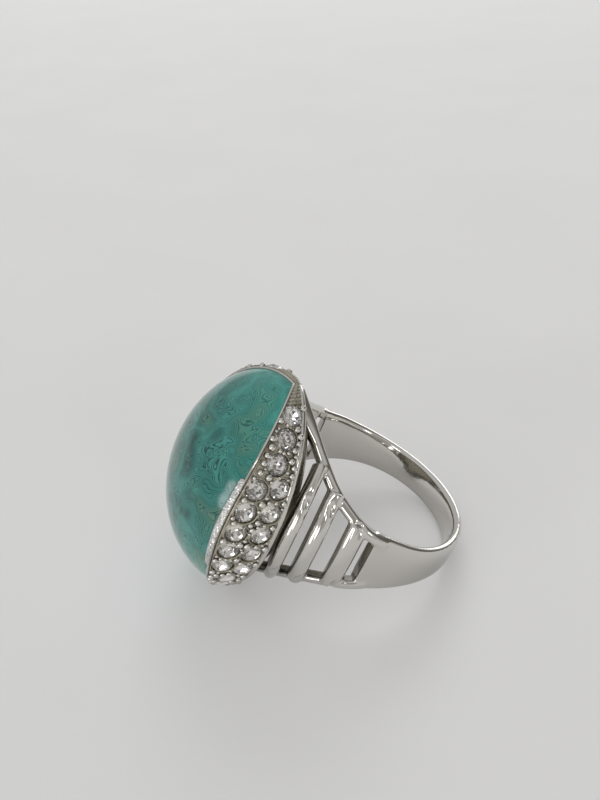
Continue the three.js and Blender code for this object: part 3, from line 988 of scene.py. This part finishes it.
# Soft patches of the room's light: where each lies from the ring, its inner and outer half
# angles in degrees, and its colour.
SKY_PATCHES = [
    {"towards": (-0.1, -0.8, 0.55), "inner": 5, "outer": 34, "colour": (0.34, 0.33, 0.31)},
    {"towards": (-0.3, -0.75, 0.75), "inner": 3, "outer": 8, "colour": (6.0, 6.0, 5.8)},
    {"towards": (0.3, -0.9, 0.35), "inner": 3, "outer": 7, "colour": (5.0, 4.9, 4.7)},
    {"towards": (0.95, 0.0, 0.3), "inner": 8, "outer": 45, "colour": (0.13, 0.125, 0.11)},
    {"towards": (-0.5, -0.82, 0.2), "inner": 5, "outer": 13, "colour": (3.0, 3.0, 3.0)},
    {"towards": (-0.88, -0.42, 0.1), "inner": 4, "outer": 12, "colour": (5.0, 5.0, 5.0)},
    {"towards": (-0.84, -0.43, 0.32), "inner": 3, "outer": 9, "colour": (5.0, 5.0, 5.0)},
    {"towards": (0.66, 0.75, 0.1), "inner": 3, "outer": 9, "colour": (3.4, 3.4, 3.4)},
]
SKY_STRENGTH = 1.0
# In metres and watts.
BACK_WINDOW = {"place": (0.1, 0.5, 0.4), "target": (0, 0.05, 0), "size": (0.3, 0.3), "power": 1.0}
FLOOR_GLOW = 0.235
FLOOR_REACH = 6.0  # metres, as are the wall's
WALL = {"radius": 1.0, "height": 1.2, "sides": 96}


def camera():
    data = bpy.data.cameras.new("camera")
    data.lens = FOCAL_LENGTH
    data.sensor_width = SENSOR_WIDTH
    data.sensor_fit = "HORIZONTAL"
    data.clip_start = 0.002
    data.clip_end = 30
    made = bpy.data.objects.new("camera", data)
    bpy.context.scene.collection.objects.link(made)
    level = math.cos(CAMERA_ELEVATION)
    back = Vector((
        math.sin(CAMERA_AZIMUTH) * level,
        -math.cos(CAMERA_AZIMUTH) * level,
        math.sin(CAMERA_ELEVATION),
    ))
    right = Vector((0, 0, 1)).cross(back).normalized()
    right = Matrix.Rotation(CAMERA_ROLL, 3, back) @ right
    turn = Matrix((right, back.cross(right), back)).transposed().to_4x4()
    made.matrix_world = Matrix.Translation(TO_ROW @ Vector(CAMERA_PLACE)) @ turn
    bpy.context.scene.camera = made


def area_light(name, place, target, size, power):
    """A soft lamp that lights the ring without showing in the metal."""
    data = bpy.data.lights.new(name, "AREA")
    data.shape = "RECTANGLE"
    data.size, data.size_y = size
    data.energy = power
    made = bpy.data.objects.new(name, data)
    bpy.context.scene.collection.objects.link(made)
    made.location = place
    made.visible_glossy = False
    aim = Vector(target) - Vector(place)
    made.rotation_euler = aim.to_track_quat("-Z", "Y").to_euler()


def plaster():
    """The plain pale finish of the floor and the wall."""
    made, tree, shader = material(
        "plaster", Roughness=0.9, Emission_Color=(1, 0.99, 0.98, 1), Emission_Strength=FLOOR_GLOW,
    )
    grain = noise(tree, millimetres(tree), scale=0.05, detail=3.0)
    colour = ramp(tree, grain.outputs["Fac"], [(0.3, grey(0.53)), (0.7, grey(0.55))])
    tree.links.new(colour, shader.inputs["Base Color"])
    return made


def stage_piece(name, shape, finish):
    """Something of the room's, from its vertices, edges and faces."""
    mesh = bpy.data.meshes.new(name)
    mesh.from_pydata(*shape)
    mesh.materials.append(finish)
    made = bpy.data.objects.new(name, mesh)
    bpy.context.scene.collection.objects.link(made)
    return made


def floor_and_wall():
    """The floor, and a round wall that only the camera sees, so that the room lights the ring."""
    finish = plaster()
    far = FLOOR_REACH
    corners = [(-far, -far, 0), (far, -far, 0), (far, far, 0), (-far, far, 0)]
    stage_piece("floor", (corners, [], [(0, 1, 2, 3)]), finish)
    sides = WALL["sides"]
    rings = [circle(WALL["radius"], up, sides) for up in (0, WALL["height"])]
    faces = [
        (i, (i + 1) % sides, sides + (i + 1) % sides, sides + i) for i in range(sides)
    ]
    wall = stage_piece("wall", (np.concatenate(rings).tolist(), [], faces), finish)
    wall.visible_diffuse = False
    wall.visible_glossy = False
    wall.visible_transmission = False
    wall.visible_shadow = False


def sky():
    """A pale room, dim behind the camera and on one side, with bright windows for the metal."""
    world = bpy.data.worlds.new("room")
    world.use_nodes = True
    bpy.context.scene.world = world
    tree = world.node_tree
    direction = node(tree, "ShaderNodeTexCoord").outputs["Generated"]
    split = node(tree, "ShaderNodeSeparateXYZ", links={"Vector": direction})
    colour = ramp(tree, split.outputs["Z"], [
        (0.0, (0.42, 0.42, 0.415)), (0.3, (0.5, 0.5, 0.495)), (1.0, (0.6, 0.6, 0.6)),
    ])
    for patch in SKY_PATCHES:
        aim = Vector(patch["towards"]).normalized()
        nearness = node(
            tree, "ShaderNodeVectorMath", {"operation": "DOT_PRODUCT", 1: aim}, {0: direction},
        ).outputs["Value"]
        inner, outer = (math.cos(math.radians(patch[edge])) for edge in ("inner", "outer"))
        mask = node(
            tree, "ShaderNodeMapRange",
            {"interpolation_type": "SMOOTHSTEP", "From Min": outer, "From Max": inner},
            {"Value": nearness},
        ).outputs["Result"]
        colour = mix(tree, mask, colour, patch["colour"])
    background = tree.nodes["Background"]
    tree.links.new(colour, background.inputs["Color"])
    background.inputs["Strength"].default_value = SKY_STRENGTH


def studio():
    area_light("back_window", **BACK_WINDOW)
    sky()
    floor_and_wall()
    settings = bpy.context.scene.view_settings
    settings.view_transform = "Standard"


# ---- the whole picture -----------------------------------------------------------------------

camera()
casting()
pave_panels()
rhinestones()
cabochon()
bezel()
head_cup()
cement_mesh = frame["nodes"]["cement_bed"].data
cement_mesh.materials.clear()
cement_mesh.materials.append(CEMENT)
studio()
